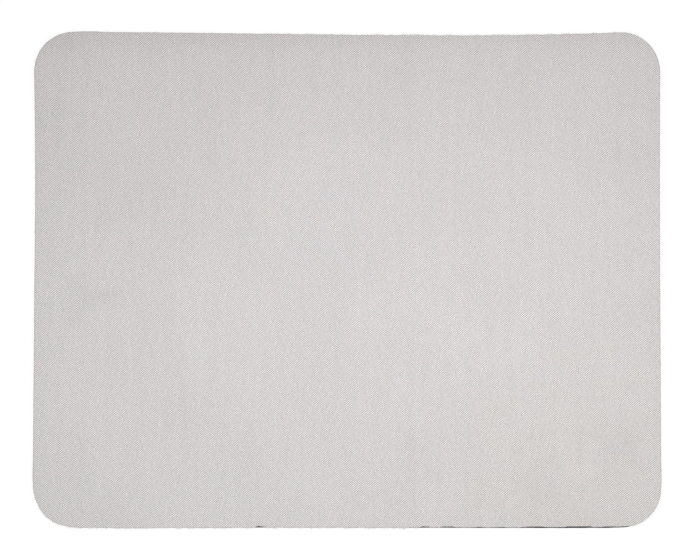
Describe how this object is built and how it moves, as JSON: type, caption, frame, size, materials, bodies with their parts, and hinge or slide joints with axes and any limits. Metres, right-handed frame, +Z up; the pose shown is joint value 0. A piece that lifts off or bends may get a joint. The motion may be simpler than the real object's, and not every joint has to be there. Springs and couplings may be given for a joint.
{
  "type": "mouse pad",
  "caption": "Rectangular soft mouse pad with rounded corners: pale woven cloth bonded to a dark sponge rubber core with a ribbed non-slip sole.",
  "frame": {"origin": "on the plane that the sole rests on, under the middle of the pad's box", "axes": "+X along the long side to the user's right, +Y away from the user, +Z up out of the cloth face"},
  "size_m": [0.24, 0.1904, 0.003],
  "materials": {
    "woven_polyester": "matte",
    "hot_melt_film": "satin",
    "sponge_rubber": "matte",
    "moulded_rubber": "matte"
  },
  "bodies": {
    "root": {"cloth_top": "woven_polyester", "bond_film": "hot_melt_film", "foam_core": "sponge_rubber", "grip_base": "moulded_rubber"}
  },
  "joints": []
}
